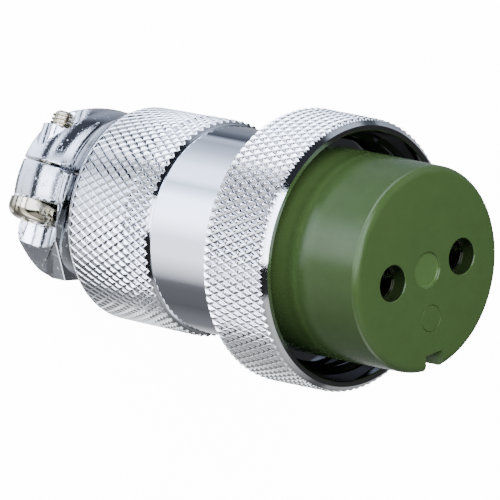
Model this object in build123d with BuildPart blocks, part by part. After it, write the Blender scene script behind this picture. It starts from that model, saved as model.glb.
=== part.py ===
from build123d import *
import os

# Two-pole metal cable plug with socket contacts, a knurled coupling nut and a
# two-part cable clamp. It stands on the flat end of the clamp. +Z is the axis,
# pointing out of the mating face, and the key slot faces -Y. Millimetres.

# Lengths along the axis, from the clamp's end to the mating face
clamp_height = 12.7
back_shell_length = 14.0
smooth_ring_length = 12.55
nut_length = 10.25
nose_stand_out = 11.6

# Clearances
running_clearance = 0.05
axial_play = 0.05
fit_clearance = 0.05
thread_clearance = 0.02

# Front shell, whose outside drives the other diameters along the plug
shell_d = 25.76
shell_wall = 1.45
shell_flange = 1.5
shell_flange_clearance = 0.2
shell_seat_depth = 7.0
shell_shoulder = 1.6
shell_shoulder_step = 0.82
shell_thread_length = 7.0
shell_thread_step = 0.68
shell_thread_wall = 1.2
shell_edge = 0.3
shell_thread_d = shell_d - 2 * shell_thread_step
shell_rear_bore_d = shell_thread_d - 2 * shell_thread_wall
shell_shoulder_d = shell_rear_bore_d - 2 * shell_shoulder_step

# Coupling nut, from the shell outwards
nut_thread_room = 2.12
nut_thread_depth = 0.7
nut_thread_relief = 1.0
nut_mouth_step = 0.5
nut_mouth_depth = 2.2
nut_rim = 1.5
nut_front_chamfer = 0.5
nut_rear_chamfer = 0.35
nut_web = 1.8
nut_recess_step = 0.4
nut_recess_depth = 1.55
nut_thread_d = shell_d + 2 * nut_thread_room
nut_mouth_d = nut_thread_d + 2 * nut_mouth_step
nut_d = nut_mouth_d + 2 * nut_rim
nut_recess_d = nut_thread_d - 2 * nut_recess_step
shell_flange_d = nut_thread_d - 2 * (nut_thread_depth + shell_flange_clearance)

# Washer and snap ring behind the nut
nut_washer_clearance = 0.3
nut_washer_thickness = 0.35
nut_ring_step = 0.1
nut_ring_thickness = 0.9
nut_ring_groove_depth = 0.65
nut_ring_gap = 40
ring_gap_side = 60
nut_washer_d = nut_recess_d - 2 * nut_washer_clearance
nut_ring_d = nut_washer_d - 2 * nut_ring_step

# Insulator nose, slightly thinner than the shell, and its snap ring
nose_relief = 0.03
nose_edge = 1.0
neck_length = 4.2
insulator_ring_clearance = 0.15
insulator_ring_thickness = 0.9
insulator_groove_depth = 0.75
insulator_ring_gap = 40
key_slot_width = 3.0
key_slot_depth = 2.2
rib_width = 2.4
rib_height = 0.7
nose_d = shell_d - 2 * nose_relief
insulator_ring_d = shell_rear_bore_d - 2 * insulator_ring_clearance

# Socket contacts
face_hole_d = 4.5
face_hole_depth = 2.0
chamber_d = 6.1
chamber_wall = 0.88
socket_d = 5.2
socket_bore_d = 4.0
socket_bore_depth = 15.0
socket_slot_width = 0.6
socket_slot_length = 12.0
spring_setback = 2.0
spring_width = 1.6
spring_thickness = 0.35
collar_d = 6.8
collar_thickness = 1.4
terminal_d = 5.4
terminal_length = 8.0
terminal_flat_depth = 0.4
wire_hole_d = 2.9
wire_hole_depth = 6.5
contact_spacing = shell_shoulder_d - chamber_d - 2 * chamber_wall

# Rear insulator, with its screw's head between the two terminals
base_clearance = 1.0
base_thickness = 4.6
base_screw_room = 1.05
base_d = shell_rear_bore_d - 2 * base_clearance

# Screws
base_screw_head_d = contact_spacing - terminal_d - 2 * base_screw_room
base_screw_head_height = base_screw_head_d * 0.36
base_screw_d = base_screw_head_d * 0.6
base_screw_length = 9.0
terminal_screw_d = 2.6
terminal_screw_length = 2.9
terminal_screw_head_d = 4.5
terminal_screw_head_height = 1.6
terminal_screw_setback = 4.2
clamp_screw_d = 3.0
clamp_screw_length = 12.0
clamp_screw_head_d = 5.9
clamp_screw_head_height = 2.3
cross_width_share = 0.16
cross_length_share = 0.56
cross_depth_share = 0.55
cross_taper = 12
head_round_share = 0.6
tip_chamfer_share = 0.12

# Back shell, a little larger than the front shell and slightly tapered
back_shell_step = 0.62
back_shell_taper = 0.23
back_shell_chamfer = 0.4
back_shell_face_step = 0.55
back_shell_round = 1.1
back_shell_thread_depth = 7.6
back_shell_cavity_step = 0.3
back_shell_floor = 4.0
back_shell_opening_d = 19.0
back_shell_d = shell_d + 2 * back_shell_step
back_shell_rear_d = back_shell_d - 2 * back_shell_taper
back_shell_face_d = back_shell_d - 2 * back_shell_face_step
back_shell_cavity_d = shell_rear_bore_d + 2 * back_shell_cavity_step

# Insulating sleeve around the terminals
liner_thickness = 0.6
liner_setback = 1.0

# Cable clamp, shared by its body and its saddle
clamp_turn = 144.8
body_shift = 0.85
saddle_shift = 0.4
clamp_end_d = 17.0
clamp_corner_d = 20.0
clamp_corner_height = 0.7
clamp_shoulder_d = 20.9
clamp_shoulder_height = 1.8
clamp_crown_d = 22.1
clamp_crown_height = 5.1
clamp_band_top_d = 21.3
clamp_band_height = 8.7
clamp_lip_d = 24.0
clamp_lip = 0.6
clamp_collar_d = 18.6
clamp_collar_lip_d = 22.0
clamp_collar_start = 3.0
clamp_collar_straight = 8.6
clamp_bore_d = 11.0
clamp_bore_chamfer = 0.6
clamp_neck_length = 3.6
clamp_neck_bore_d = 13.6
grip_groove_width = 0.7
grip_groove_depth = 0.5
grip_groove_count = 4
clamp_gap = 0.2
clamp_parting = 1.15
clamp_parting_end = 1.95
saddle_side_height = 9.95
saddle_bend_reach = 3.3
saddle_bend_height = 9.6
saddle_knee_reach = 7.2
saddle_knee_height = 7.5
saddle_foot_height = 3.1
saddle_flat_turn = 64.4
saddle_flat_distance = 9.35
saddle_scoop_r = 5.5
saddle_scoop_clearance = 0.15
clamp_screw_offset = 8.2
clamp_screw_height = 3.25
clamp_screw_seat = 3.2
clamp_tip_seat = 6.7
clamp_tip_pocket_d = 5.2
clamp_lug_d = 4.4

# Stations along the axis
back_shell_front = clamp_height + back_shell_length
nut_rear = back_shell_front + smooth_ring_length
nut_front = nut_rear + nut_length
face = nut_front + nose_stand_out
web_rear = nut_rear + nut_recess_depth
web_front = web_rear + nut_web
washer_front = web_rear - axial_play
washer_rear = washer_front - nut_washer_thickness
nut_ring_rear = washer_rear - nut_ring_thickness
flange_rear = web_front + axial_play
flange_front = flange_rear + shell_flange
shoulder_front = flange_front - shell_seat_depth
shoulder_rear = shoulder_front - shell_shoulder
base_front = shoulder_front - neck_length
base_rear = base_front - base_thickness
chamber_front = face - face_hole_depth
socket_front = chamber_front - fit_clearance
terminal_rear = base_rear - terminal_length
back_shell_inside = clamp_height + back_shell_floor
clamp_front = clamp_height + clamp_neck_length

# Radii
shell_r = shell_d / 2
nose_r = nose_d / 2
shell_bore_r = shell_r - shell_wall
nut_slide_r = shell_r + running_clearance
nut_thread_r = nut_thread_d / 2
nut_crest_r = nut_thread_r - nut_thread_depth
body_r = shell_bore_r - fit_clearance
neck_r = shell_shoulder_d / 2 - fit_clearance
insulator_groove_r = neck_r - insulator_groove_depth
nut_groove_r = shell_r - nut_ring_groove_depth
clamp_bore_r = clamp_bore_d / 2
contact_places = [(-contact_spacing / 2, 0), (contact_spacing / 2, 0)]


def turned(points):
    """A turned piece, from the outline of its section on one side of the axis."""
    with BuildPart() as piece:
        with BuildSketch(Plane.XZ):
            with BuildLine():
                Polyline(*points, close=True)
            make_face()
        revolve(axis=Axis.Z)
    return piece


def split_ring(inner_r, outer_r, bottom, thickness, gap_angle, gap_side):
    """A flat ring with a gap, as it is sprung into its groove."""
    gap_from = Vector(2 * outer_r, 0).rotate(Axis.Z, gap_side - gap_angle / 2)
    gap_to = Vector(2 * outer_r, 0).rotate(Axis.Z, gap_side + gap_angle / 2)
    with BuildPart() as ring:
        with BuildSketch(Plane.XY.offset(bottom)):
            Circle(outer_r)
            Circle(inner_r, mode=Mode.SUBTRACT)
            with BuildLine():
                Polyline((0, 0), (gap_from.X, gap_from.Y), (gap_to.X, gap_to.Y), close=True)
            make_face(mode=Mode.SUBTRACT)
        extrude(amount=thickness)
    return ring


def pan_screw(seat, diameter, length, head_d, head_height):
    """A pan head screw with a cross recess. The seat plane looks out of the head."""
    out = Axis(seat.origin, seat.z_dir)
    with BuildPart() as screw:
        with BuildSketch(seat):
            Circle(head_d / 2)
        extrude(amount=head_height)
        head_rims = screw.edges().filter_by(GeomType.CIRCLE).sort_by(out)
        fillet(head_rims[-1], head_height * head_round_share)
        with BuildSketch(seat):
            Circle(diameter / 2)
        extrude(amount=-length)
        chamfer(screw.edges().filter_by(GeomType.CIRCLE).sort_by(out)[0], diameter * tip_chamfer_share)
        with BuildSketch(seat.offset(head_height)):
            Rectangle(head_d * cross_length_share, head_d * cross_width_share)
            Rectangle(head_d * cross_width_share, head_d * cross_length_share)
        extrude(amount=-head_height * cross_depth_share, taper=cross_taper, mode=Mode.SUBTRACT)
    return screw


def socket_contact(x, y):
    """A turned socket contact: slotted sleeve, collar, and terminal with a wire hole."""
    with BuildPart() as contact:
        with BuildSketch(Plane(origin=(x, y, 0), x_dir=(1, 0, 0), z_dir=(0, -1, 0))):
            with BuildLine():
                Polyline(
                    (0, terminal_rear),
                    (terminal_d / 2, terminal_rear),
                    (terminal_d / 2, base_front - collar_thickness),
                    (collar_d / 2, base_front - collar_thickness),
                    (collar_d / 2, base_front),
                    (socket_d / 2, base_front),
                    (socket_d / 2, socket_front),
                    (socket_bore_d / 2, socket_front),
                    (socket_bore_d / 2, socket_front - socket_bore_depth),
                    (0, socket_front - socket_bore_depth),
                    close=True,
                )
            make_face()
        revolve(axis=Axis((x, y, 0), (0, 0, 1)))
        # Two crossed slots let the sleeve spring open
        with BuildSketch(Plane.XY.offset(socket_front)):
            with Locations((x, y)):
                Rectangle(collar_d, socket_slot_width)
                Rectangle(socket_slot_width, collar_d)
        extrude(amount=-socket_slot_length, mode=Mode.SUBTRACT)
        # Wire hole from the rear
        with BuildSketch(Plane.XY.offset(terminal_rear)):
            with Locations((x, y)):
                Circle(wire_hole_d / 2)
        extrude(amount=wire_hole_depth, mode=Mode.SUBTRACT)
        # Flat and tapped hole for the terminal screw
        with BuildSketch(terminal_seat(x, y)):
            Rectangle(terminal_d, terminal_screw_head_d)
        extrude(amount=terminal_d, mode=Mode.SUBTRACT)
        with BuildSketch(terminal_seat(x, y)):
            Circle(terminal_screw_d / 2 + thread_clearance)
        extrude(amount=-terminal_d / 2, mode=Mode.SUBTRACT)
    return contact


def terminal_seat(x, y):
    """The flat on a terminal where its screw's head sits."""
    spot = (x, y + terminal_d / 2 - terminal_flat_depth, terminal_rear + terminal_screw_setback)
    return Plane(origin=spot, x_dir=(1, 0, 0), z_dir=(0, 1, 0))


# The clamp's own axes: X across to the screw seen in front, Y towards both heads
clamp_frame = Plane.XY.rotated((0, 0, clamp_turn))
clamp_side = Plane(origin=(0, 0, 0), x_dir=clamp_frame.y_dir, z_dir=clamp_frame.x_dir)
clamp_reach = clamp_lip_d / 2 + body_shift
clamp_sides = (1, -1)


def clamp_screw_plane(side, reach):
    """A plane across a clamp screw, that far towards its head, looking out of it."""
    spot = clamp_frame.from_local_coords((side * clamp_screw_offset, reach, clamp_screw_height))
    return Plane(origin=spot, x_dir=(0, 0, 1), z_dir=clamp_frame.y_dir)


def clamp_round(shift):
    """The clamp's round outer form, crowned along its height, its axis moved from the heads."""
    with BuildPart() as form:
        with BuildSketch(Plane.XZ):
            with BuildLine():
                corner = ThreePointArc(
                    (clamp_end_d / 2, 0),
                    (clamp_corner_d / 2, clamp_corner_height),
                    (clamp_shoulder_d / 2, clamp_shoulder_height),
                )
                crown = ThreePointArc(
                    corner @ 1,
                    (clamp_crown_d / 2, clamp_crown_height),
                    (clamp_band_top_d / 2, clamp_band_height),
                )
                Spline(
                    crown @ 1,
                    (clamp_lip_d / 2, clamp_height - clamp_lip),
                    tangents=(crown % 1, (1, 1)),
                )
                Polyline(
                    (clamp_lip_d / 2, clamp_height - clamp_lip),
                    (clamp_lip_d / 2, clamp_height),
                    (0, clamp_height),
                    (0, 0),
                    (clamp_end_d / 2, 0),
                )
            make_face()
        revolve(axis=Axis.Z)
    spot = clamp_frame.from_local_coords((0, -shift, 0))
    return form.part.moved(Location(spot))


def saddle_outline(offset):
    """The saddle's outline from the side, that much smaller all round, as a face to extrude."""
    parting_top = (offset - clamp_parting, saddle_side_height - offset)
    knee = (saddle_knee_reach, saddle_knee_height - offset)
    with BuildSketch(clamp_side) as outline:
        with BuildLine():
            ThreePointArc(parting_top, (saddle_bend_reach, saddle_bend_height - offset), knee)
            Polyline(
                knee,
                (clamp_reach, saddle_foot_height - offset),
                (clamp_reach, 0),
                (offset - clamp_parting_end, 0),
                parting_top,
            )
        make_face()
    return outline.sketch


def cable_bore():
    """The room for the cable, with its end chamfer and grip grooves."""
    grip_pitch = 2 * grip_groove_width
    with BuildPart() as bore:
        with BuildSketch(Plane.XZ):
            with BuildLine():
                Polyline(
                    (0, 0),
                    (clamp_bore_r + clamp_bore_chamfer, 0),
                    (clamp_bore_r, clamp_bore_chamfer),
                    (clamp_bore_r, clamp_height - (clamp_neck_bore_d - clamp_bore_d) / 2),
                    (clamp_neck_bore_d / 2, clamp_height),
                    (clamp_neck_bore_d / 2, clamp_front),
                    (0, clamp_front),
                    close=True,
                )
            make_face()
            for i in range(grip_groove_count):
                height = 2 * clamp_bore_chamfer + grip_groove_width + i * grip_pitch
                with Locations((clamp_bore_r, height)):
                    Rectangle(2 * grip_groove_depth, grip_groove_width)
        revolve(axis=Axis.Z)
    return bore.part


# Coupling nut
coupling_nut = turned([
    (nut_slide_r, web_rear),
    (nut_recess_d / 2, web_rear),
    (nut_recess_d / 2, nut_rear),
    (nut_d / 2 - nut_rear_chamfer, nut_rear),
    (nut_d / 2, nut_rear + nut_rear_chamfer),
    (nut_d / 2, nut_front - nut_front_chamfer),
    (nut_d / 2 - nut_front_chamfer, nut_front),
    (nut_mouth_d / 2, nut_front),
    (nut_mouth_d / 2, nut_front - nut_mouth_depth),
    (nut_thread_r, nut_front - nut_mouth_depth),
    (nut_crest_r, nut_front - nut_mouth_depth - nut_thread_depth),
    (nut_crest_r, web_front + nut_thread_relief),
    (nut_thread_r, web_front + nut_thread_relief),
    (nut_thread_r, web_front),
    (nut_slide_r, web_front),
])
coupling_nut.part.label = "coupling_nut"

# Front shell: flange, bore, inner shoulder and rear thread
with BuildPart() as front_shell:
    with BuildSketch(Plane.XZ):
        with BuildLine():
            Polyline(
                (shell_bore_r, flange_front),
                (shell_flange_d / 2 - shell_edge, flange_front),
                (shell_flange_d / 2, flange_front - shell_edge),
                (shell_flange_d / 2, flange_rear),
                (shell_r, flange_rear),
                (shell_r, washer_rear),
                (nut_groove_r, washer_rear),
                (nut_groove_r, nut_ring_rear),
                (shell_r, nut_ring_rear),
                (shell_r, back_shell_front),
                (shell_thread_d / 2, back_shell_front),
                (shell_thread_d / 2, back_shell_front - shell_thread_length + shell_edge),
                (shell_thread_d / 2 - shell_edge, back_shell_front - shell_thread_length),
                (shell_rear_bore_d / 2, back_shell_front - shell_thread_length),
                (shell_rear_bore_d / 2, shoulder_rear),
                (shell_shoulder_d / 2, shoulder_rear),
                (shell_shoulder_d / 2, shoulder_front),
                (shell_bore_r, shoulder_front),
                close=True,
            )
        make_face()
    revolve(axis=Axis.Z)
    # Slot for the insulator's rib
    with BuildSketch(Plane.XY.offset(shoulder_front)):
        with Locations((0, -body_r)):
            Rectangle(rib_width + 2 * fit_clearance, 2 * (rib_height + fit_clearance))
    extrude(amount=shell_seat_depth, mode=Mode.SUBTRACT)
front_shell.part.label = "front_shell"

# Washer and snap ring that keep the nut on the shell
nut_washer = turned([
    (nut_slide_r, washer_rear),
    (nut_washer_d / 2, washer_rear),
    (nut_washer_d / 2, washer_front),
    (nut_slide_r, washer_front),
])
nut_washer.part.label = "nut_washer"

nut_snap_ring = split_ring(
    nut_groove_r, nut_ring_d / 2, nut_ring_rear, nut_ring_thickness, nut_ring_gap, ring_gap_side
)
nut_snap_ring.part.label = "nut_snap_ring"

# Insulator nose
insulator_groove_rear = shoulder_rear - insulator_ring_thickness
with BuildPart() as insulator_nose:
    with BuildSketch(Plane.XZ):
        with BuildLine():
            Polyline(
                (0, base_front),
                (neck_r, base_front),
                (neck_r, insulator_groove_rear),
                (insulator_groove_r, insulator_groove_rear),
                (insulator_groove_r, shoulder_rear),
                (neck_r, shoulder_rear),
                (neck_r, shoulder_front),
                (body_r, shoulder_front),
                (body_r, flange_front),
                (nose_r, flange_front),
                (nose_r, face),
                (0, face),
                close=True,
            )
        make_face()
    revolve(axis=Axis.Z)
    fillet(insulator_nose.edges().filter_by(GeomType.CIRCLE).sort_by(Axis.Z)[-1], nose_edge)
    # Rib that sits in the shell's slot
    with BuildSketch(Plane.XY.offset(shoulder_front)):
        with Locations((0, -body_r)):
            Rectangle(rib_width, 2 * rib_height)
    extrude(amount=shell_seat_depth)
    # Key slot along the nose
    with BuildSketch(Plane.XY.offset(face)):
        with Locations((0, -nose_r)):
            Rectangle(key_slot_width, 2 * key_slot_depth)
    extrude(amount=flange_front + shell_flange - face, mode=Mode.SUBTRACT)
    # Contact holes, with wider chambers behind them
    with BuildSketch(Plane.XY.offset(base_front)):
        with Locations(*contact_places):
            Circle(chamber_d / 2)
    extrude(amount=chamber_front - base_front, mode=Mode.SUBTRACT)
    with BuildSketch(Plane.XY.offset(face)):
        with Locations(*contact_places):
            Circle(face_hole_d / 2)
    extrude(amount=-face_hole_depth, mode=Mode.SUBTRACT)
    # Tapped hole for the screw that holds the rear insulator
    screw_seat = base_rear + base_screw_head_height
    with BuildSketch(Plane.XY.offset(base_front)):
        Circle(base_screw_d / 2 + thread_clearance)
    extrude(amount=screw_seat + base_screw_length + base_screw_d / 2 - base_front, mode=Mode.SUBTRACT)
insulator_nose.part.label = "insulator_nose"

insulator_snap_ring = split_ring(
    insulator_groove_r,
    insulator_ring_d / 2,
    insulator_groove_rear,
    insulator_ring_thickness,
    insulator_ring_gap,
    ring_gap_side,
)
insulator_snap_ring.part.label = "insulator_snap_ring"

# Rear insulator, which traps the contacts' collars
with BuildPart() as insulator_base:
    with BuildSketch(Plane.XY.offset(base_rear)):
        Circle(base_d / 2)
    extrude(amount=base_thickness)
    with BuildSketch(Plane.XY.offset(base_rear)):
        with Locations(*contact_places):
            Circle(terminal_d / 2 + fit_clearance)
    extrude(amount=base_thickness, mode=Mode.SUBTRACT)
    with BuildSketch(Plane.XY.offset(base_front)):
        with Locations(*contact_places):
            Circle(collar_d / 2 + fit_clearance)
    extrude(amount=-collar_thickness, mode=Mode.SUBTRACT)
    with BuildSketch(Plane.XY.offset(base_rear)):
        Circle(base_screw_d / 2 + fit_clearance)
    extrude(amount=base_thickness, mode=Mode.SUBTRACT)
    with BuildSketch(Plane.XY.offset(base_rear)):
        Circle(base_screw_head_d / 2 + fit_clearance)
    extrude(amount=base_screw_head_height, mode=Mode.SUBTRACT)
insulator_base.part.label = "insulator_base"

base_screw = pan_screw(
    Plane(origin=(0, 0, screw_seat), x_dir=(1, 0, 0), z_dir=(0, 0, -1)),
    base_screw_d,
    base_screw_length,
    base_screw_head_d,
    base_screw_head_height,
)
base_screw.part.label = "insulator_screw"

# Contacts, the spring rings around their sleeves, and the terminal screws
contact_sets = []
for number, (x, y) in enumerate(contact_places, start=1):
    contact = socket_contact(x, y)
    contact.part.label = f"socket_contact_{number}"
    with BuildPart() as spring:
        with BuildSketch(Plane.XY.offset(socket_front - spring_setback - spring_width)):
            with Locations((x, y)):
                Circle(socket_d / 2 + spring_thickness)
                Circle(socket_d / 2, mode=Mode.SUBTRACT)
            with Locations((x, y + socket_d / 2)):
                Rectangle(socket_slot_width, socket_d / 2, mode=Mode.SUBTRACT)
        extrude(amount=spring_width)
    spring.part.label = f"contact_spring_{number}"
    screw = pan_screw(
        terminal_seat(x, y),
        terminal_screw_d,
        terminal_screw_length,
        terminal_screw_head_d,
        terminal_screw_head_height,
    )
    screw.part.label = f"terminal_screw_{number}"
    contact_sets += [contact, spring, screw]

# Back shell: front thread, cavity, and the threaded rear opening for the clamp
with BuildPart() as back_shell:
    thread_rear = back_shell_front - back_shell_thread_depth
    thread_r = shell_thread_d / 2 + thread_clearance
    with BuildSketch(Plane.XZ):
        with BuildLine():
            Polyline(
                (thread_r, back_shell_front),
                (back_shell_face_d / 2, back_shell_front),
                (back_shell_d / 2, back_shell_front - back_shell_chamfer),
                (back_shell_rear_d / 2, clamp_height),
                (back_shell_opening_d / 2, clamp_height),
                (back_shell_opening_d / 2, back_shell_inside),
                (back_shell_cavity_d / 2, back_shell_inside),
                (back_shell_cavity_d / 2, thread_rear),
                (thread_r, thread_rear),
                close=True,
            )
        make_face()
    revolve(axis=Axis.Z)
    rear_rims = back_shell.edges().filter_by(GeomType.CIRCLE).group_by(Axis.Z)[0]
    fillet(rear_rims.sort_by(SortBy.RADIUS)[-1], back_shell_round)
back_shell.part.label = "back_shell"

# Insulating sleeve, standing on the back shell's rear wall
liner_r = shell_rear_bore_d / 2 - fit_clearance
terminal_liner = turned([
    (liner_r - liner_thickness, back_shell_inside),
    (liner_r, back_shell_inside),
    (liner_r, base_rear - liner_setback),
    (liner_r - liner_thickness, base_rear - liner_setback),
])
terminal_liner.part.label = "terminal_liner"

# Clamp body: a collar that screws into the back shell, and the trough half of the clamp
with BuildPart() as clamp_body:
    add(clamp_round(body_shift))
    # Only the trough keeps the full round. The rest is the plainer collar
    with BuildSketch(clamp_side):
        with BuildLine():
            Polyline(
                (-clamp_parting_end - clamp_gap / 2, 0),
                (clamp_reach, 0),
                (clamp_reach, clamp_height),
                (-clamp_parting - clamp_gap / 2, clamp_height),
                close=True,
            )
        make_face()
    extrude(amount=clamp_reach, both=True, mode=Mode.SUBTRACT)
    with BuildSketch(Plane.XZ):
        with BuildLine():
            Spline(
                (clamp_collar_d / 2, clamp_collar_straight),
                (clamp_collar_lip_d / 2, clamp_height - clamp_lip),
                tangents=((0, 1), (1, 1)),
            )
            Polyline(
                (clamp_collar_lip_d / 2, clamp_height - clamp_lip),
                (clamp_collar_lip_d / 2, clamp_height),
                (back_shell_opening_d / 2 - thread_clearance, clamp_height),
                (back_shell_opening_d / 2 - thread_clearance, clamp_front),
                (0, clamp_front),
                (0, clamp_collar_start),
                (clamp_collar_d / 2, clamp_collar_start),
                (clamp_collar_d / 2, clamp_collar_straight),
            )
        make_face()
    revolve(axis=Axis.Z)
    # Room for the saddle
    room = saddle_outline(-clamp_gap / 2)
    extrude(room, amount=clamp_reach, dir=clamp_side.z_dir, both=True, mode=Mode.SUBTRACT)
    # Lugs that give the screws some thread
    for side in clamp_sides:
        with BuildSketch(clamp_screw_plane(side, -clamp_tip_seat)):
            Circle(clamp_lug_d / 2)
        extrude(amount=clamp_tip_seat - clamp_parting_end - clamp_gap / 2)
    add(cable_bore(), mode=Mode.SUBTRACT)
    # Tapped holes, and spot faces where the screw tips come out
    for side in clamp_sides:
        with BuildSketch(clamp_screw_plane(side, -clamp_tip_seat)):
            Circle(clamp_tip_pocket_d / 2)
        extrude(amount=-clamp_reach, mode=Mode.SUBTRACT)
        with BuildSketch(clamp_screw_plane(side, -clamp_tip_seat)):
            Circle(clamp_screw_d / 2 + thread_clearance)
        extrude(amount=clamp_reach, mode=Mode.SUBTRACT)
clamp_body.part.label = "clamp_body"

# Clamp saddle: the loose half that the two screws draw up onto the cable
with BuildPart() as clamp_saddle:
    add(clamp_round(saddle_shift))
    outline = saddle_outline(clamp_gap / 2)
    extrude(outline, amount=clamp_reach, dir=clamp_side.z_dir, both=True, mode=Mode.INTERSECT)
    # Two flats that meet in a blunt ridge at the foot
    for side in clamp_sides:
        flat_turn = saddle_flat_turn if side == 1 else 180 - saddle_flat_turn
        with BuildSketch(Plane.XY.rotated((0, 0, clamp_turn + flat_turn))):
            with Locations((saddle_flat_distance + clamp_reach / 2, 0)):
                Rectangle(clamp_reach, 2 * clamp_reach)
        extrude(amount=clamp_height, mode=Mode.SUBTRACT)
    add(cable_bore(), mode=Mode.SUBTRACT)
    # Scoops that make room for the screw heads, and their clearance holes
    scoop_wall = clamp_screw_offset - clamp_screw_head_d / 2 - saddle_scoop_clearance
    for side in clamp_sides:
        seat = clamp_screw_plane(side, clamp_screw_seat)
        middle = side * (scoop_wall + saddle_scoop_r)
        spot = clamp_frame.from_local_coords((middle, clamp_screw_seat, clamp_screw_height))
        with BuildSketch(Plane(origin=spot, x_dir=(0, 0, 1), z_dir=clamp_frame.y_dir)):
            Circle(saddle_scoop_r)
        extrude(amount=clamp_reach, mode=Mode.SUBTRACT)
        with BuildSketch(seat):
            Circle(clamp_screw_d / 2 + fit_clearance)
        extrude(amount=-clamp_reach, mode=Mode.SUBTRACT)
clamp_saddle.part.label = "clamp_saddle"

# Clamp screws, both put in from the saddle's side
clamp_screws = []
for number, side in enumerate(clamp_sides, start=1):
    screw = pan_screw(
        clamp_screw_plane(side, clamp_screw_seat),
        clamp_screw_d,
        clamp_screw_length,
        clamp_screw_head_d,
        clamp_screw_head_height,
    )
    screw.part.label = f"clamp_screw_{number}"
    clamp_screws.append(screw)

os.makedirs("parts", exist_ok=True)
pieces = [
    coupling_nut,
    front_shell,
    nut_washer,
    nut_snap_ring,
    insulator_nose,
    insulator_snap_ring,
    insulator_base,
    base_screw,
    back_shell,
    terminal_liner,
    *contact_sets,
    clamp_body,
    clamp_saddle,
    *clamp_screws,
]
for piece in pieces:
    export_step(piece.part, f"parts/{piece.part.label}.step")
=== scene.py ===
"""A round metal cable plug, dressed for its photograph: knurled chrome, cast chrome, green insulator."""

import math

import bmesh
import bpy
from mathutils import Matrix, Vector


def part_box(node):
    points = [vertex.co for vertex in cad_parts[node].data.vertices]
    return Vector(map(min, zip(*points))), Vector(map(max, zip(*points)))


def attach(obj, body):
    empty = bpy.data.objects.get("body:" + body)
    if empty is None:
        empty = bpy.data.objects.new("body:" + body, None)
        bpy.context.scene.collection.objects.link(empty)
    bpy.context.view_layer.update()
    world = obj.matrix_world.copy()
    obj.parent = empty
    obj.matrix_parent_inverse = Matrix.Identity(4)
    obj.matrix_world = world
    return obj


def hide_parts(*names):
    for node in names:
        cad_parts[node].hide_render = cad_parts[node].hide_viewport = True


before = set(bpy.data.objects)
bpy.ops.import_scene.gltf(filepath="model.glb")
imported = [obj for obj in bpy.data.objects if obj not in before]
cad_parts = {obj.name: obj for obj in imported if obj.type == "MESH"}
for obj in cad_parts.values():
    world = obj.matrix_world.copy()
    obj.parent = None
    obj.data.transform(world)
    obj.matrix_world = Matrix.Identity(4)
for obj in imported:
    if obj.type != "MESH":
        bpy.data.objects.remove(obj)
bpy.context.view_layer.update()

MM = 0.001
TURN = 2 * math.pi
AXIS = Vector((0, 0, 1))
TINY = 0.001 * MM


# Sizes, in millimetres, as the frame has them

def millimetres(metres):
    """Millimetres to a thousandth, without the noise of the frame's 32-bit numbers."""
    return round(metres / MM, 3)


def reach(node):
    """The heights of a node's rear and front end along the plug's axis."""
    low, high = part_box(node)
    return low.z / MM, high.z / MM


def girth(node):
    """The largest radius of a node that is turned round the plug's axis."""
    return millimetres(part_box(node)[1].x)


NUT_REAR, NUT_FRONT = reach("coupling_nut")
NUT_R = girth("coupling_nut")
NUT_MOUTH_R = 15.5
NUT_MOUTH_DEPTH = 2.2
NUT_MOUTH_EDGE = 0.15
NUT_THREAD_R = 15.0
NUT_CREST_R = 14.3
NUT_THREAD_PITCH = 1.5
NUT_THREAD_RELIEF = 0.2
NUT_RECESS_R = 14.6
NUT_RECESS_DEPTH = 1.55
NUT_WEB = 1.8
NUT_SLIDE_R = 12.93
NUT_FRONT_CHAMFER = 0.8
NUT_REAR_CHAMFER = 0.4

BACK_REAR, BACK_FRONT = reach("back_shell")
BACK_FRONT_R = girth("back_shell")
BACK_REAR_R = 13.27
BACK_FACE_R = 12.9
BACK_CHAMFER = 0.42
BACK_ROUND = 1.1
BACK_BORE_R = 12.22
BACK_OPENING_R = 9.5
BACK_END_WALL = 4.0

SHELL_REAR, SHELL_FRONT = reach("front_shell")
SHELL_R = 12.88
SHELL_FLANGE_R = girth("front_shell")
SHELL_FLANGE = 1.5
SHELL_BORE_R = 11.43
SHELL_SEAT = 7.0
SHELL_SHOULDER = 1.6
SHELL_SHOULDER_R = 10.18
SHELL_REAR_BORE_R = 11.0
SHELL_THREAD_R = 12.2
SHELL_EDGE = 0.3
SHELL_STEP_EDGE = 0.15
RING_GROOVE_REAR, RING_GROOVE_FRONT = reach("nut_snap_ring")
RING_GROOVE_R = 12.23

NOSE_REAR, FACE = reach("insulator_nose")
NOSE_R = girth("insulator_nose")
NOSE_EDGE = 1.0
NOSE_BODY_R = 11.38
NOSE_NECK_R = 10.13
NOSE_GROOVE = 0.9
NOSE_GROOVE_R = 9.38
HOLE_R = 2.25
HOLE_DEPTH = 2.0
HOLE_EDGE = 0.12
CHAMBER_R = 3.05
CONTACT_X = millimetres(sum(corner.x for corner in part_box("socket_contact_2")) / 2)
RIB_WIDTH = 2.4
RIB_HEIGHT = 0.7
RIB_PLAY = 0.05
RIB_LAP = 0.01
BASE_SCREW_END = reach("insulator_screw")[1]
BASE_SCREW_HOLE_R = 1.52
KEY_WIDTH = 3.0
KEY_DEPTH = 2.2
KEY_END = 45.65
CENTRE_MARK_R = 2.2
CENTRE_MARK_DEPTH = 0.35
RING_MARK_R = 1.8
RING_MARK_LINE = 0.28
RING_MARK_DEPTH = 0.14
RING_MARK_Y = -6.2

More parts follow.
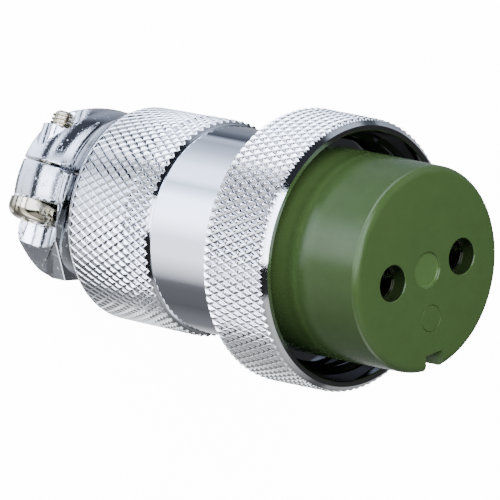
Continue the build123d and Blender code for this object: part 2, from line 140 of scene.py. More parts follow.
SCREW_R = 1.5
SCREW_ROOT_R = 1.21
SCREW_PITCH = 0.5
SCREW_LENGTH = 12.0
SCREW_TIP = 0.3
SCREW_HEAD_R = 2.95
SCREW_HEAD = 2.3
SCREW_HEAD_ROUND = 1.38
SCREW_SEAT_EDGE = 0.1
CROSS_WIDTH = 0.94
CROSS_LENGTH = 3.3
CROSS_DEPTH = 1.27
CROSS_FOOT = 0.6
SCREW_ACROSS = 8.2
SCREW_SEAT = 3.2
SCREW_HEIGHT = 3.25
CAST_EDGE = 0.14

NUT_KNURL = {"around": 98, "pitch": 2.27, "depth": 0.3, "land": 0.34}
BACK_KNURL = {"around": 72, "pitch": 1.8, "depth": 0.32, "land": 0.32}

# How far the lands lie inside the turned outline, and how far a form that cuts stands past what it cuts
KNURL_MARGIN = 0.015
CUT_SPARE = 1.0

# Knurls: the share of the groove that is rounded, how many pitches of spare rows stand past each end, and the
# share of the largest face's area from which a diamond counts as whole
KNURL_ROUND = 0.18
KNURL_SPARE = 1.2
KNURL_WHOLE = 0.99

# Thread ridges: how far their foot is buried, and the half widths of foot and tip as shares of the pitch
THREAD_BURIED = 0.06
THREAD_FLANK = 0.42
THREAD_TIP = 0.07

# Steps of round forms
BARREL_STEPS = 192
SMOOTH_STEPS = 256
HOLE_STEPS = 96
SCREW_STEPS = 64
NUT_THREAD_STEPS = 96
SCREW_THREAD_STEPS = 36
ARC_STEPS = 8
KNURL_ROUND_STEPS = 2
CAST_EDGE_STEPS = 3

# Angles in degrees
CLAMP_TURN = 144.8
SHARP = 32
SCREW_SHARP = 35
CAST_SHARP = 25
CAST_FLAT = 0.8


# Meshes

def placed(name, data):
    """Adds an object with that data to the scene."""
    obj = bpy.data.objects.new(name, data)
    bpy.context.scene.collection.objects.link(obj)
    return obj


def mesh_of(name, bm):
    """Turns a bmesh into a mesh."""
    mesh = bpy.data.meshes.new(name)
    bm.to_mesh(mesh)
    bm.free()
    return mesh


def piece(name, bm, material, body, node):
    """Turns a bmesh into a piece that rides on a body and stands for that CAD node."""
    obj = placed(name, mesh_of(name, bm))
    obj.data.materials.append(material)
    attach(obj, body)
    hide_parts(node)
    return obj


def shade(bm, degrees):
    """Smooth shading, broken where two faces meet at more than that angle."""
    limit = math.radians(degrees)
    for face in bm.faces:
        face.smooth = True
    for edge in bm.edges:
        edge.smooth = len(edge.link_faces) == 2 and edge.calc_face_angle(math.pi) < limit
    return bm


def turned(outline, steps=BARREL_STEPS):
    """A closed turned form, from the (radius, height) corners of its section in millimetres."""
    bm = bmesh.new()
    corners = [bm.verts.new((r * MM, 0, z * MM)) for r, z in outline]
    edges = [bm.edges.new(pair) for pair in zip(corners, corners[1:] + corners[:1])]
    bmesh.ops.spin(bm, geom=corners + edges, cent=(0, 0, 0), axis=AXIS, angle=TURN, steps=steps,
                   use_merge=True)
    bmesh.ops.remove_doubles(bm, verts=bm.verts, dist=TINY)
    bmesh.ops.recalc_face_normals(bm, faces=bm.faces)
    return bm


def rounded(r, z, size, start, stop):
    """Points of an arc round (r, z), from one angle above the radius to another."""
    angles = [math.radians(start + (stop - start) * i / ARC_STEPS) for i in range(ARC_STEPS + 1)]
    return [(r + size * math.cos(angle), z + size * math.sin(angle)) for angle in angles]


def moved(bm, x, y):
    """Shifts a form sideways by millimetres."""
    bmesh.ops.translate(bm, verts=bm.verts, vec=(x * MM, y * MM, 0))
    return bm


def block(low, high):
    """A box between two corners in millimetres."""
    bm = bmesh.new()
    bmesh.ops.create_cube(bm, size=MM)
    low, high = Vector(low), Vector(high)
    bmesh.ops.scale(bm, verts=bm.verts, vec=high - low)
    bmesh.ops.translate(bm, verts=bm.verts, vec=(low + high) / 2 * MM)
    return bm


def cut(bm, tool, operation):
    """The first form cut by, joined with or kept within the second."""
    objects = [placed("cutting", mesh_of("cutting", form)) for form in (bm, tool)]
    boolean = objects[0].modifiers.new("cut", "BOOLEAN")
    boolean.object = objects[1]
    boolean.operation = operation
    boolean.solver = "EXACT"
    result = bmesh.new()
    result.from_object(objects[0], bpy.context.evaluated_depsgraph_get())
    for obj in objects:
        mesh = obj.data
        bpy.data.objects.remove(obj)
        bpy.data.meshes.remove(mesh)
    return result


def knurled_bar(radius, low, high, around, pitch, depth, land):
    """A bar with raised diamonds all round, each with a flat land and softened edges."""
    root_r = (radius - depth) * MM
    step = TURN / around
    spare = KNURL_SPARE * pitch
    bm = bmesh.new()

    # One column of flat diamonds, repeated all round
    rows = math.ceil((high - low + 2 * spare) / (pitch / 2)) + 2
    for row in range(rows):
        turn = (row % 2) * step / 2
        height = (low - spare + (row - 0.5) * pitch / 2) * MM
        corners = []
        for side, rise in ((-1, 0), (0, -1), (1, 0), (0, 1)):
            spoke = Matrix.Rotation(turn + side * step / 2, 3, "Z") @ Vector((root_r, 0, 0))
            corners.append(bm.verts.new((spoke.x, spoke.y, height + rise * pitch / 2 * MM)))
        bm.faces.new(corners)
    bmesh.ops.spin(bm, geom=bm.faces[:] + bm.edges[:] + bm.verts[:], cent=(0, 0, 0), axis=AXIS,
                   angle=TURN * (around - 1) / around, steps=around - 1, use_duplicate=True)
    bmesh.ops.remove_doubles(bm, verts=bm.verts, dist=TINY)

    # Both ends cut square and closed
    for end, way in ((low - spare, -1), (high + spare, 1)):
        bmesh.ops.bisect_plane(bm, geom=bm.verts[:] + bm.edges[:] + bm.faces[:], dist=TINY,
                               plane_co=(0, 0, end * MM), plane_no=(0, 0, way), clear_outer=True)
    whole = KNURL_WHOLE * max(face.calc_area() for face in bm.faces)
    diamonds = [face for face in bm.faces if face.calc_area() > whole]
    bmesh.ops.holes_fill(bm, edges=[edge for edge in bm.edges if edge.is_boundary], sides=0)
    bmesh.ops.recalc_face_normals(bm, faces=bm.faces)

    # Every whole diamond raised, and its edges softened
    width = TURN * radius / around
    groove = width / 2 * (1 - land) * math.cos(math.atan(width / pitch))
    bmesh.ops.inset_individual(bm, faces=diamonds, thickness=groove * MM, depth=depth * MM,
                               use_even_offset=True)
    bmesh.ops.bevel(bm, geom=list({edge for face in diamonds for edge in face.edges}),
                    offset=KNURL_ROUND * groove * MM, segments=KNURL_ROUND_STEPS, profile=0.5,
                    affect="EDGES", offset_type="OFFSET", clamp_overlap=True, material=-1)
    return bm


def thread_ridge(bm, root_r, crest_r, pitch, low, high, steps):
    """Adds a thread ridge that winds from one height to another, buried a little in its wall."""
    buried = root_r + math.copysign(THREAD_BURIED, root_r - crest_r)
    flank = pitch * THREAD_FLANK
    tip = pitch * THREAD_TIP
    rise = high - low - 2 * flank
    turns = rise / pitch
    corners = [bm.verts.new((r * MM, 0, (low + flank + z) * MM))
               for r, z in ((buried, -flank), (crest_r, -tip), (crest_r, tip), (buried, flank))]
    edges = [bm.edges.new(pair) for pair in zip(corners, corners[1:] + corners[:1])]
    count = round(steps * turns)
    made = bmesh.ops.spin(bm, geom=corners + edges, cent=(0, 0, 0), axis=AXIS, angle=TURN * turns,
                          steps=count, dvec=(0, 0, rise * MM / count))
    bm.faces.new(corners)
    last = [v for v in made["geom_last"] if isinstance(v, bmesh.types.BMVert)]
    bmesh.ops.contextual_create(bm, geom=last)


# Shader maths

class Value:
    """A node's socket that adds, subtracts, multiplies and divides like a number."""

    def __init__(self, nodes, socket):
        self.nodes = nodes
        self.socket = socket

    def __add__(self, other):
        return self.nodes.maths("ADD", self, other)

    def __radd__(self, other):
        return self.nodes.maths("ADD", other, self)

    def __sub__(self, other):
        return self.nodes.maths("SUBTRACT", self, other)

    def __rsub__(self, other):
        return self.nodes.maths("SUBTRACT", other, self)

    def __mul__(self, other):
        return self.nodes.maths("MULTIPLY", self, other)

    def __rmul__(self, other):
        return self.nodes.maths("MULTIPLY", other, self)

    def __truediv__(self, other):
        return self.nodes.maths("DIVIDE", self, other)


class Nodes:
    """One node tree, for a finish or for the room around the plug."""

    def __init__(self, owner):
        owner.use_nodes = True
        self.tree = owner.node_tree
        self.tree.nodes.clear()

    def node(self, kind, settings=None, inputs=None, out=0):
        """Adds a node of that kind, sets it up, feeds its sockets and gives one output."""
        node = self.tree.nodes.new(kind)
        for name, setting in (settings or {}).items():
            if name == "stops":
                self.stops(node.color_ramp, setting)
            else:
                setattr(node, name, setting)
        for name, value in (inputs or {}).items():
            if isinstance(value, Value):
                self.tree.links.new(value.socket, node.inputs[name])
            else:
                node.inputs[name].default_value = value
        return Value(self, node.outputs[out]) if node.outputs else None

    def stops(self, ramp, stops):
        """Sets a ramp's stops, each (place, grey) or (place, colour)."""
        while len(ramp.elements) < len(stops):
            ramp.elements.new(1)
        for element, (place, colour) in zip(ramp.elements, stops):
            element.position = place
            element.color = (*colour, 1) if isinstance(colour, tuple) else (colour, colour, colour, 1)

    def ramp(self, value, *stops):
        return self.node("ShaderNodeValToRGB", {"stops": stops}, {"Fac": value})

    def noise(self, where, scale, detail=3.0, roughness=0.55):
        return self.node("ShaderNodeTexNoise", {}, {"Vector": where, "Scale": scale, "Detail": detail,
                                                    "Roughness": roughness})

    def maths(self, operation, *values):
        return self.node("ShaderNodeMath", {"operation": operation}, dict(enumerate(values)))

    def vector(self, operation, *values, out="Vector"):
        return self.node("ShaderNodeVectorMath", {"operation": operation}, dict(enumerate(values)), out)

    def radius(self, where):
        """The distance from the plug's axis, in metres."""
        return self.vector("LENGTH", self.vector("MULTIPLY", where, (1, 1, 0)), out="Value")

    def height(self, where):
        """The height along the plug's axis, in metres."""
        return self.node("ShaderNodeSeparateXYZ", {}, {0: where}, out="Z")

    def smooth_step(self, value, start, stop):
        """A soft step from 0 at one value to 1 at another."""
        return self.node("ShaderNodeMapRange", {"interpolation_type": "SMOOTHSTEP"},
                         {"Value": value, "From Min": start, "From Max": stop})

    def tinted(self, colour, factor):
        """A colour made lighter or darker by a factor that varies over the surface."""
        return self.node("ShaderNodeMix", {"data_type": "RGBA", "blend_type": "MULTIPLY"},
                         {"Factor": 1.0, "A": colour, "B": factor}, out="Result")

    def darkened(self, distance, colour, stops):
        """A lighter or darker colour at some places: (millimetres, share of the colour) stops."""
        low, high = stops[0][0], stops[-1][0]
        place = (distance / MM - low) / (high - low)
        share = self.ramp(place, *[((at - low) / (high - low), level) for at, level in stops])
        return self.tinted(colour, share)


# Finishes: levels and scales of the noise, the marks on the face, then (millimetres, share of colour) stops

MOTTLE_FROM, MOTTLE_TO = 0.3, 0.7
GLOSS_FINENESS = 3
GLOSS_PLAY = 0.02
PIT_SCALE = 1500.0
PIT_FROM, PIT_TO = 0.3, 0.36
MARK_REACH = 1.0
MARK_FADE = (0.05, -0.1)
MARK_LIGHT = 0.05
STREAK_SCALE = 60.0
STREAK_LIGHT = 0.6
# Painted shade in the contact holes: the share of the colour kept, and how far past the hole's edge it
# reaches
HOLE_SHADE = 0.2
HOLE_SHADE_SPARE = 0.03
# Painted shade: the nut's mouth and the roots of its knurl grooves darker
NUT_PAINTED_SHADE = ((15.5, 0.2), (15.62, 1.0), (16.5, 1.0), (16.68, 0.72), (16.86, 1.0))
# Painted shade: the roots of the back shell's knurl grooves darker
BACK_PAINTED_SHADE = ((13.0, 1.0), (13.14, 0.6), (13.36, 1.0))
# Painted shade and painted reflection: the clamp darker towards the back shell
CLAMP_PAINTED_SHADE = ((7.4, 1.0), (8.8, 0.6), (10.2, 0.25), (13.0, 0.15))
# Painted reflection and shade: lighter and darker bands round the nose near the nut's mouth
NOSE_PAINTED_REFLECTIONS = ((49.0, 1.08), (49.8, 0.87), (50.3, 0.94), (50.8, 1.12), (51.5, 0.92), (52.4, 1.03),
                (53.0, 1.08), (54.2, 1.0))


def finish(name, colour, metallic, roughness, mottle, mottle_scale=900.0, grain=0.01, grain_scale=4000.0,
           pits=0.0, wear=0.05, specular=0.5, by_radius=(), by_height=(), mark=None):
    """A procedural finish: mottled colour, uneven gloss, fine grain and a few small pits."""
    material = bpy.data.materials.new(name)
    nodes = Nodes(material)
    where = nodes.node("ShaderNodeTexCoord", out="Object")
    darker = tuple(c * (1 - mottle) for c in colour)
    lighter = tuple(min(1, c * (1 + mottle)) for c in colour)
    tone = nodes.ramp(nodes.noise(where, mottle_scale), (MOTTLE_FROM, darker), (MOTTLE_TO, lighter))
    # Painted shade and reflection, lighter or darker by distance from the axis or by height
    if by_radius:
        tone = nodes.darkened(nodes.radius(where), tone, by_radius)
    if by_height:
        tone = nodes.darkened(nodes.height(where), tone, by_height)
    # A mark on the face, which for the nose also paints shade into its contact holes
    if mark:
        tone = mark(nodes, where, tone)
    gloss = nodes.noise(where, mottle_scale * GLOSS_FINENESS) * (wear + GLOSS_PLAY) + (roughness - wear / 2)
    relief = nodes.noise(where, grain_scale) * grain
    if pits:
        holes = nodes.noise(where, PIT_SCALE, detail=2.0)
        relief = relief + nodes.ramp(holes, (PIT_FROM, 0.0), (PIT_TO, 1.0)) * pits
    normal = nodes.node("ShaderNodeBump", {}, {"Height": relief, "Strength": 1.0, "Distance": MM})
    shader = nodes.node("ShaderNodeBsdfPrincipled", {}, {
        "Base Color": tone, "Metallic": metallic, "Roughness": gloss, "Normal": normal,
        "Specular IOR Level": specular})
    nodes.node("ShaderNodeOutputMaterial", {}, {"Surface": shader})
    return material


def face_mark_and_hole_shade(nodes, where, colour):
    """The insulator's lighter, scratched mark in the middle of its face, and painted shade in its contact
    holes.
    """
    outside, inside = [(CENTRE_MARK_R + fade) * MM for fade in MARK_FADE]
    mark = nodes.smooth_step(nodes.radius(where), outside, inside)
    front = nodes.maths("GREATER_THAN", nodes.height(where), (FACE - MARK_REACH) * MM)
    spokes = nodes.node("ShaderNodeTexGradient", {"gradient_type": "RADIAL"}, {"Vector": where})
    streaks = nodes.noise(spokes, STREAK_SCALE, detail=2.0, roughness=0.5)
    share = mark * front * (streaks * STREAK_LIGHT + MARK_LIGHT) + 1.0
    # Painted shade in the contact holes
    for x in (-CONTACT_X, CONTACT_X):
        from_middle = nodes.radius(nodes.vector("SUBTRACT", where, (x * MM, 0, 0)))
        hole = nodes.maths("LESS_THAN", from_middle, (HOLE_R + HOLE_SHADE_SPARE) * MM)
        share = share * (1.0 - hole * (1.0 - HOLE_SHADE))
    return nodes.tinted(colour, share)


GREEN = {"colour": (0.075, 0.136, 0.043), "metallic": 0.0, "roughness": 0.24, "mottle": 0.04,
         "mottle_scale": 400.0, "grain": 0.001, "grain_scale": 2000.0, "wear": 0.03, "specular": 0.3}
chrome_smooth = finish("chrome_smooth", (0.73, 0.76, 0.83), 1.0, 0.04, mottle=0.015, grain=0.003, wear=0.02)
chrome_nut = finish("chrome_nut", (0.84, 0.85, 0.87), 1.0, 0.06, mottle=0.03, grain=0.005, wear=0.04,
                    by_radius=NUT_PAINTED_SHADE)
chrome_back = finish("chrome_back", (0.76, 0.78, 0.81), 1.0, 0.06, mottle=0.03, grain=0.005, wear=0.04,
                     by_radius=BACK_PAINTED_SHADE)
chrome_cast = finish("chrome_cast", (0.73, 0.76, 0.82), 1.0, 0.05, mottle=0.02, pits=0.02, wear=0.03,
                     by_height=CLAMP_PAINTED_SHADE)
green_insulator = finish("green_insulator", **GREEN)
green_nose = finish("green_nose", **GREEN, by_height=NOSE_PAINTED_REFLECTIONS, mark=face_mark_and_hole_shade)
nickel = finish("nickel", (0.52, 0.48, 0.37), 1.0, 0.1, mottle=0.08, grain=0.012, wear=0.06)
contact_plate = finish("contact_plate", (0.4, 0.38, 0.31), 1.0, 0.25, mottle=0.05)
spring_steel = finish("spring_steel", (0.4, 0.4, 0.41), 1.0, 0.3, mottle=0.05, grain=0.02, wear=0.1)
liner_black = finish("liner_black", (0.02, 0.02, 0.022), 0.0, 0.5, mottle=0.1)


# Coupling nut: knurled outside, mouth, inside thread and rear recess

web_rear = NUT_REAR + NUT_RECESS_DEPTH
web_front = web_rear + NUT_WEB
thread_front = NUT_FRONT - NUT_MOUTH_DEPTH
nut = cut(
    knurled_bar(NUT_R - KNURL_MARGIN, NUT_REAR, NUT_FRONT, **NUT_KNURL),
    turned([
        (NUT_SLIDE_R, web_rear),
        (NUT_RECESS_R, web_rear),
        (NUT_RECESS_R, NUT_REAR),
        (NUT_R - NUT_REAR_CHAMFER, NUT_REAR),
        (NUT_R, NUT_REAR + NUT_REAR_CHAMFER),
        (NUT_R, NUT_FRONT - NUT_FRONT_CHAMFER),
        (NUT_R - NUT_FRONT_CHAMFER, NUT_FRONT),
        (NUT_MOUTH_R + NUT_MOUTH_EDGE, NUT_FRONT),
        (NUT_MOUTH_R, NUT_FRONT - NUT_MOUTH_EDGE),
        (NUT_MOUTH_R, thread_front),
        (NUT_THREAD_R, thread_front),
        (NUT_THREAD_R, web_front),
        (NUT_SLIDE_R, web_front),
    ]),
    "INTERSECT",
)
thread_ridge(nut, NUT_THREAD_R, NUT_CREST_R, NUT_THREAD_PITCH, web_front + NUT_THREAD_RELIEF, thread_front,
             NUT_THREAD_STEPS)
shade(nut, SHARP)
piece("coupling_nut_knurled", nut, chrome_nut, "nut", "coupling_nut")


# Back shell: knurled outside, chamfered front, rounded rear

back_shell = cut(
    knurled_bar(BACK_FRONT_R - KNURL_MARGIN, BACK_REAR, BACK_FRONT, **BACK_KNURL),
    turned([
        *rounded(BACK_REAR_R - BACK_ROUND, BACK_REAR + BACK_ROUND, BACK_ROUND, -90, 0),
        (BACK_FRONT_R, BACK_FRONT - BACK_CHAMFER),
        (BACK_FACE_R, BACK_FRONT),
        (BACK_BORE_R, BACK_FRONT),
        (BACK_BORE_R, BACK_REAR + BACK_END_WALL),
        (BACK_OPENING_R, BACK_REAR + BACK_END_WALL),
        (BACK_OPENING_R, BACK_REAR),
    ]),
    "INTERSECT",
)
shade(back_shell, SHARP)
piece("back_shell_knurled", back_shell, chrome_back, "plug", "back_shell")


# Front shell: flange, ring groove, bore with its shoulder and rib slot, and rear thread

def rib(low, high, play):
    """The insulator's rib, or with some play the slot in the shell that it sits in."""
    half = RIB_WIDTH / 2 + play
    return block((-half, -NOSE_BODY_R - RIB_HEIGHT - play, low),
                 (half, -NOSE_BODY_R + RIB_HEIGHT + play, high))


shoulder_front = SHELL_FRONT - SHELL_SEAT
shoulder_rear = shoulder_front - SHELL_SHOULDER
front_shell = turned([
    (SHELL_BORE_R, SHELL_FRONT),
    (SHELL_FLANGE_R - SHELL_EDGE, SHELL_FRONT),
    (SHELL_FLANGE_R, SHELL_FRONT - SHELL_EDGE),
    (SHELL_FLANGE_R, SHELL_FRONT - SHELL_FLANGE),
    (SHELL_R, SHELL_FRONT - SHELL_FLANGE),
    (SHELL_R, RING_GROOVE_FRONT),
    (RING_GROOVE_R, RING_GROOVE_FRONT),
    (RING_GROOVE_R, RING_GROOVE_REAR),
    (SHELL_R, RING_GROOVE_REAR),
    (SHELL_R, BACK_FRONT + SHELL_STEP_EDGE),
    (SHELL_R - SHELL_STEP_EDGE, BACK_FRONT),
    (SHELL_THREAD_R, BACK_FRONT),
    (SHELL_THREAD_R, SHELL_REAR + SHELL_EDGE),
    (SHELL_THREAD_R - SHELL_EDGE, SHELL_REAR),
    (SHELL_REAR_BORE_R, SHELL_REAR),
    (SHELL_REAR_BORE_R, shoulder_rear),
    (SHELL_SHOULDER_R, shoulder_rear),
    (SHELL_SHOULDER_R, shoulder_front),
    (SHELL_BORE_R, shoulder_front),
], SMOOTH_STEPS)
front_shell = cut(front_shell, rib(shoulder_front, SHELL_FRONT + CUT_SPARE, RIB_PLAY), "DIFFERENCE")
shade(front_shell, SHARP)
piece("front_shell_turned", front_shell, chrome_smooth, "plug", "front_shell")


# Insulator nose: rounded edge, rib, holes, key slot, centre mark and a bare ring mark

def base_screw_hole():
    """The hole for the rear insulator's screw."""
    end = BASE_SCREW_END + BASE_SCREW_HOLE_R
    return turned([
        (0, NOSE_REAR - CUT_SPARE),
        (BASE_SCREW_HOLE_R, NOSE_REAR - CUT_SPARE),
        (BASE_SCREW_HOLE_R, end),
        (0, end),
    ], SCREW_STEPS)


def contact_hole(x):
    """A contact's chamber, and the narrower hole with a softened edge in front of it."""
    return moved(turned([
        (0, NOSE_REAR - CUT_SPARE),
        (CHAMBER_R, NOSE_REAR - CUT_SPARE),
        (CHAMBER_R, FACE - HOLE_DEPTH),
        (HOLE_R, FACE - HOLE_DEPTH),
        (HOLE_R, FACE - HOLE_EDGE),
        (HOLE_R + 2 * HOLE_EDGE, FACE + HOLE_EDGE),
        (0, FACE + HOLE_EDGE),
    ], HOLE_STEPS), x, 0)


def key_slot():
    """The slot for the receptacle's key."""
    return block((-KEY_WIDTH / 2, -NOSE_R - KEY_DEPTH, KEY_END),
                 (KEY_WIDTH / 2, -NOSE_R + KEY_DEPTH, FACE + CUT_SPARE))


def centre_mark():
    """The round recess in the middle of the face."""
    bottom = FACE - CENTRE_MARK_DEPTH
    return turned([
        (0, bottom),
        (CENTRE_MARK_R - HOLE_EDGE, bottom),
        (CENTRE_MARK_R, bottom + HOLE_EDGE),
        (CENTRE_MARK_R, FACE - HOLE_EDGE),
        (CENTRE_MARK_R + 2 * HOLE_EDGE, FACE + HOLE_EDGE),
        (0, FACE + HOLE_EDGE),
    ], HOLE_STEPS)


def ring_mark():
    """The bare ring below the middle of the face, a V-shaped line."""
    return moved(turned([
        (RING_MARK_R - RING_MARK_LINE, FACE + RING_MARK_DEPTH),
        (RING_MARK_R - RING_MARK_LINE / 2, FACE - RING_MARK_DEPTH),
        (RING_MARK_R, FACE + RING_MARK_DEPTH),
    ], HOLE_STEPS), 0, RING_MARK_Y)


nose = turned([
    (0, NOSE_REAR),
    (NOSE_NECK_R, NOSE_REAR),
    (NOSE_NECK_R, shoulder_rear - NOSE_GROOVE),
    (NOSE_GROOVE_R, shoulder_rear - NOSE_GROOVE),
    (NOSE_GROOVE_R, shoulder_rear),
    (NOSE_NECK_R, shoulder_rear),
    (NOSE_NECK_R, shoulder_front),
    (NOSE_BODY_R, shoulder_front),
    (NOSE_BODY_R, SHELL_FRONT),
    (NOSE_R, SHELL_FRONT),
    *rounded(NOSE_R - NOSE_EDGE, FACE - NOSE_EDGE, NOSE_EDGE, 0, 90),
    (0, FACE),
], SMOOTH_STEPS)
nose = cut(nose, rib(shoulder_front, SHELL_FRONT + RIB_LAP, 0), "UNION")
for hollow in (base_screw_hole(), contact_hole(-CONTACT_X), contact_hole(CONTACT_X), key_slot(),
               centre_mark(), ring_mark()):
    nose = cut(nose, hollow, "DIFFERENCE")
shade(nose, SHARP)
piece("insulator_nose_moulded", nose, green_nose, "plug", "insulator_nose")


# Cable clamp: both castings with rounded edges

def casting(name, node):
    """A copy of a CAD casting, welded, its flat facets joined and its sharp edges rounded."""
    bm = bmesh.new()
    bm.from_mesh(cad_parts[node].data)
    bmesh.ops.remove_doubles(bm, verts=bm.verts, dist=TINY)
    bmesh.ops.dissolve_limit(bm, angle_limit=math.radians(CAST_FLAT), verts=bm.verts, edges=bm.edges)
    for face in bm.faces:
        face.smooth = True
    bevel = piece(name, bm, chrome_cast, "plug", node).modifiers.new("edges", "BEVEL")
    bevel.width = CAST_EDGE * MM
    bevel.segments = CAST_EDGE_STEPS
    bevel.limit_method = "ANGLE"
    bevel.angle_limit = math.radians(CAST_SHARP)
    bevel.use_clamp_overlap = False
    bevel.harden_normals = True


casting("clamp_body_cast", "clamp_body")
casting("clamp_saddle_cast", "clamp_saddle")


# Clamp screws: pan head, cross recess and thread

def cross_arm(width, length):
    """One arm of the cross recess, narrower at its foot."""
    arm = block((-width / 2, -length / 2, SCREW_HEAD - CROSS_DEPTH),
                (width / 2, length / 2, SCREW_HEAD + CUT_SPARE))
    foot = [v for v in arm.verts if v.co.z < SCREW_HEAD * MM]
    bmesh.ops.scale(arm, verts=foot, vec=(CROSS_FOOT, CROSS_FOOT, 1))
    return arm


def pan_screw():
    """A pan head screw along +Z, its seat at the origin."""
    screw = turned([
        (0, -SCREW_LENGTH),
        (SCREW_ROOT_R - SCREW_TIP, -SCREW_LENGTH),
        (SCREW_ROOT_R, SCREW_TIP - SCREW_LENGTH),
        (SCREW_ROOT_R, -SCREW_PITCH),
        (SCREW_R, 0),
        (SCREW_HEAD_R - SCREW_SEAT_EDGE, 0),
        (SCREW_HEAD_R, SCREW_SEAT_EDGE),
        *rounded(SCREW_HEAD_R - SCREW_HEAD_ROUND, SCREW_HEAD - SCREW_HEAD_ROUND, SCREW_HEAD_ROUND, 0, 90),
        (0, SCREW_HEAD),
    ], SCREW_STEPS)
    cross = cut(cross_arm(CROSS_WIDTH, CROSS_LENGTH), cross_arm(CROSS_LENGTH, CROSS_WIDTH), "UNION")
    screw = cut(screw, cross, "DIFFERENCE")
    thread_ridge(screw, SCREW_ROOT_R, SCREW_R, SCREW_PITCH, SCREW_TIP - SCREW_LENGTH, -SCREW_PITCH,
                 SCREW_THREAD_STEPS)
    return shade(screw, SCREW_SHARP)


clamp_turn = Matrix.Rotation(math.radians(CLAMP_TURN), 4, "Z")
lying = Matrix(((0, 1, 0), (0, 0, 1), (1, 0, 0))).to_4x4()
for number, sign in ((1, 1), (2, -1)):
    screw = pan_screw()
    seat = Matrix.Translation(Vector((sign * SCREW_ACROSS, SCREW_SEAT, SCREW_HEIGHT)) * MM)
    bmesh.ops.transform(screw, matrix=clamp_turn @ seat @ lying, verts=screw.verts)
    piece(f"clamp_screw_{number}_threaded", screw, nickel, "plug", f"clamp_screw_{number}")


# CAD nodes that keep their shape

NODE_FINISHES = {
    "insulator_base": green_insulator,
    "insulator_screw": nickel,
    "terminal_screw_1": nickel,
    "terminal_screw_2": nickel,
    "socket_contact_1": contact_plate,
    "socket_contact_2": contact_plate,
    "contact_spring_1": spring_steel,
    "contact_spring_2": spring_steel,
    "nut_washer": spring_steel,
    "nut_snap_ring": spring_steel,
    "insulator_snap_ring": spring_steel,
    "terminal_liner": liner_black,
}
for name, material in NODE_FINISHES.items():
    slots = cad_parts[name].data.materials
    slots.clear()
    slots.append(material)


# Camera at the photograph's angle, with the nut's mouth at its pixel there

VIEW_RIGHT = (0.677, -0.076, 0.732)
VIEW_UP = (0.266, 0.952, -0.147)
VIEW_SCALE = 8.176
VIEW_DISTANCE = 2500.0
FRAME_PX = 500
NUT_CENTRE_PX = (357.5, 256.1)
SENSOR = 36.0
NEAREST = 50.0
FARTHEST = 20000.0

right = Vector(VIEW_RIGHT).normalized()
up = Vector(VIEW_UP)
up = (up - right * up.dot(right)).normalized()
back = right.cross(up)
right_px, down_px = [FRAME_PX / 2 - place for place in NUT_CENTRE_PX]
aim = Vector((0, 0, NUT_FRONT)) + right * right_px / VIEW_SCALE - up * down_px / VIEW_SCALE
camera_data = bpy.data.cameras.new("camera")
camera_data.sensor_width = SENSOR
camera_data.lens = VIEW_SCALE * VIEW_DISTANCE * SENSOR / FRAME_PX
camera_data.clip_start = NEAREST * MM
camera_data.clip_end = FARTHEST * MM
camera = placed("camera", camera_data)
camera.matrix_world = Matrix.Translation((aim + back * VIEW_DISTANCE) * MM) @ Matrix(
    (right, up, back)).transposed().to_4x4()
bpy.context.scene.camera = camera


# Floor, which neither lights the plug nor is mirrored in it

FLOOR_HALF = 3000.0
FLOOR_GAP = 0.05
FLOOR_GREY = (0.93, 0.93, 0.93, 1)
FLOOR_ROUGHNESS = 0.9
FLOOR_GLOW = 14.0

floor_bm = bmesh.new()
bmesh.ops.create_grid(floor_bm, x_segments=1, y_segments=1, size=FLOOR_HALF * MM)
bmesh.ops.translate(floor_bm, verts=floor_bm.verts, vec=(0, 0, -FLOOR_GAP * MM))
floor = placed("floor", mesh_of("floor", floor_bm))
floor_finish = bpy.data.materials.new("floor")
floor_nodes = Nodes(floor_finish)
floor_nodes.node("ShaderNodeOutputMaterial", {}, {"Surface": floor_nodes.node(
    "ShaderNodeBsdfPrincipled", {}, {"Base Color": FLOOR_GREY, "Roughness": FLOOR_ROUGHNESS,
                                     "Emission Color": (1, 1, 1, 1), "Emission Strength": FLOOR_GLOW})})
floor.data.materials.append(floor_finish)
floor.visible_glossy = False
floor.visible_diffuse = False


# Room: what the chrome mirrors, in bands round the plug's axis that change with the height

ROOM_DIFFUSE = 0.31
ROOM_BRIGHT = 10.0
POLE = 0.4
HORIZON = 0.1
LOW_TINT = (1.0, 1.01, 1.05)
HIGH_TINT = (0.9, 0.99, 1.22)
TINT_STOPS = ((0.0, LOW_TINT), (0.38, LOW_TINT), (0.6, HIGH_TINT), (0.9, HIGH_TINT), (1.0, LOW_TINT))

world = bpy.data.worlds.new("room")
bpy.context.scene.world = world
room = Nodes(world)
ray = room.node("ShaderNodeTexCoord", out="Generated")
front = Vector((back.x, back.y, 0)).normalized()
side = AXIS.cross(front)
if side.dot(up) < 0:
    side = -side


def along(direction):
    """How far a ray of the room goes along a direction."""
    return room.vector("DOT_PRODUCT", ray, tuple(direction), out="Value")


bearing = room.maths("ARCTAN2", along(side), along(front)) / TURN + 0.5
rise = along(AXIS)


def bands(*stops):
    """Brightness round the room, from (degrees from the camera's side, brightness) stops."""
    ramp = room.ramp(bearing, *[((degrees + 180) / 360, level / ROOM_BRIGHT) for degrees, level in stops])
    return ramp * ROOM_BRIGHT


def blend(below, above, start, stop):
    """One brightness up to a height, another over it."""
    return below + (above - below) * room.smooth_step(rise, start, stop)


# From the camera, the knurls' rear walls mirror the rear bands, the clamp's crown mirrors the line, and the
# smooth ring, the knurls' lands and the green nose mirror the ring bands. The clamp's flank and the knurls'
# front walls mirror the dark, flank and middle bands, and the chamfers in front the high and top bands.
# The lower and upper side are those of the photograph, with stops that two bands share.
LOWER_SIDE = ((-180, 0.5), (-150, 0.4), (-131, 0.25), (-116, 0.8), (-106, 3.0), (-84, 3.2), (-70, 2.6),
              (-58, 1.7))
UPPER_SIDE = ((74, 5.4), (86, 4.2), (98, 2.2), (112, 0.6), (150, 0.4), (168, 1.0), (180, 0.7))

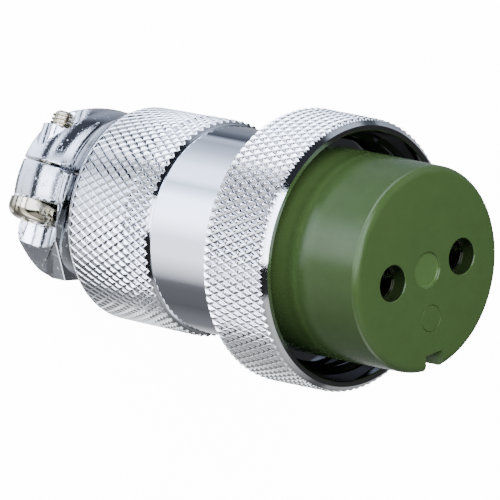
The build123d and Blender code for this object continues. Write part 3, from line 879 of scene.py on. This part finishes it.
rear_bands = bands((-180, 0.6), (-140, 1.8), (-112, 2.8), (-98, 1.6), (-80, 0.6), (-40, 0.6), (-15, 1.8),
                   (0, 2.2), (30, 2.4), (62, 3.2), (84, 3.6), (115, 3.4), (132, 2.2), (150, 0.9),
                   (180, 0.6))
line_bands = bands((-180, 0.5), (-140, 0.4), (-112, 0.25), (-60, 0.25), (-30, 0.1), (82, 0.1), (96, 2.0),
                   (110, 3.0), (132, 2.0), (150, 0.9), (180, 0.6))
ring_bands = bands((-180, 1.4), (-140, 0.27), (-120, 0.22), (-104, 0.15), (-92, 0.17), (-80, 0.18),
                   (-72, 0.23), (-64, 0.85), (-40, 2.6), (-20, 2.6), (-8, 4.2), (2, 5.4), (24, 5.4),
                   (32, 3.4), (40, 2.0), (48, 3.6), (64, 3.4), (72, 2.4), (88, 1.2), (104, 0.74),
                   (113, 1.0), (119, 0.11), (128, 0.2), (136, 0.34), (160, 0.4), (180, 0.5))
dark_bands = bands((-180, 0.5), (-140, 0.4), (-110, 0.4), (-60, 0.3), (-14, 0.05), (-4, 6.0), (18, 6.0),
                   (46, 0.08), (100, 0.08), (116, 0.45), (180, 0.6))
flank_bands = bands(*LOWER_SIDE, (-40, 1.2), (-20, 0.9), (-8, 0.5), (34, 0.5), (46, 6.0), (62, 6.4),
                    *UPPER_SIDE)
middle_bands = bands(*LOWER_SIDE, (-46, 1.4), (-34, 1.3), (-21, 0.9), (-8, 9.5), (50, 9.5), (62, 7.0),
                     *UPPER_SIDE)
high_bands = bands((-180, 0.03), (-165, 0.03), (-150, 0.2), (-120, 0.25), (-100, 0.6), (-54, 0.7),
                   (-50, 0.03), (-25, 0.03), (-22, 6.0), (41, 7.0), (45, 0.03), (95, 0.04), (102, 0.6),
                   (120, 0.7), (135, 0.4), (150, 0.2), (165, 0.03), (180, 0.03))
top_bands = bands((-180, 0.03), (-26, 0.03), (-22, 6.0), (24, 6.0), (28, 0.03), (180, 0.03))

# From the pole behind the clamp to the pole in front of the face
sky = POLE
for brightness, start, stop in (
    (rear_bands, -0.97, -0.95),
    (line_bands, -0.83, -0.81),
    (ring_bands, -0.71, -0.69),
    (dark_bands, -0.635, -0.615),
    (flank_bands, -0.42, -0.38),
    (middle_bands, -0.3, -0.26),
    (HORIZON, 0.02, 0.06),
    (high_bands, 0.14, 0.2),
    (top_bands, 0.77, 0.8),
):
    sky = blend(sky, brightness, start, stop)

glossy = room.node("ShaderNodeLightPath", out="Is Glossy Ray")
sky = ROOM_DIFFUSE + (sky - ROOM_DIFFUSE) * glossy
light = room.tinted(room.ramp(bearing, *TINT_STOPS), sky)
room.node("ShaderNodeOutputWorld", {}, {"Surface": room.node("ShaderNodeBackground", {}, {
    "Color": light, "Strength": 1.0})})


# Lamp, a soft square over the camera's side, which the chrome doesn't mirror

LAMP_FRONT = 0.66
LAMP_RISE = 0.7
LAMP_SIDE = 0.36
LAMP_DISTANCE = 500.0
LAMP_SIZE = 300.0
LAMP_POWER = 2.8

lamp_way = (front * LAMP_FRONT + AXIS * LAMP_RISE + side * LAMP_SIDE).normalized()
lamp_data = bpy.data.lights.new("lamp", "AREA")
lamp_data.shape = "SQUARE"
lamp_data.size = LAMP_SIZE * MM
lamp_data.energy = LAMP_POWER
lamp = placed("lamp", lamp_data)
lamp.matrix_world = Matrix.Translation(aim * MM + lamp_way * LAMP_DISTANCE * MM) @ lamp_way.to_track_quat(
    "Z", "Y").to_matrix().to_4x4()
lamp.visible_glossy = False
